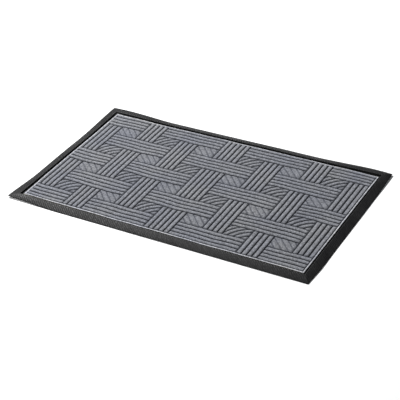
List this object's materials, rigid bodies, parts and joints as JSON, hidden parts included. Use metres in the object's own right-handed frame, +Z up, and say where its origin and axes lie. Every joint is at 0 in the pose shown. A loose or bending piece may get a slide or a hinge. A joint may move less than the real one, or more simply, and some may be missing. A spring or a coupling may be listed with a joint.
{
  "type": "door mat",
  "caption": "Rectangular door mat: ribbed needle-felt tread in a basket-weave relief, bonded to a black rubber base with a bevelled border.",
  "frame": {"origin": "on the floor, under the middle of the mat", "axes": "+X along the mat's long side, +Y across it towards the back edge, +Z up out of the tread"},
  "size_m": [0.75, 0.45, 0.0073],
  "materials": {
    "rubber": "moulded black rubber, satin, with a fine diagonal grain on the border",
    "adhesive": "thin translucent bonding film between the rubber and the felt",
    "scrim": "open plain-weave carrier cloth, hidden inside",
    "felt": "heather blue-grey needle-punched polyester felt, matte and slightly fuzzy, in raised ribs"
  },
  "bodies": {
    "root": {"backing_sheet": "rubber", "bevelled_border": "rubber", "adhesive_film": "adhesive", "felt_scrim": "scrim", "ribbed_felt": "felt"}
  },
  "joints": []
}
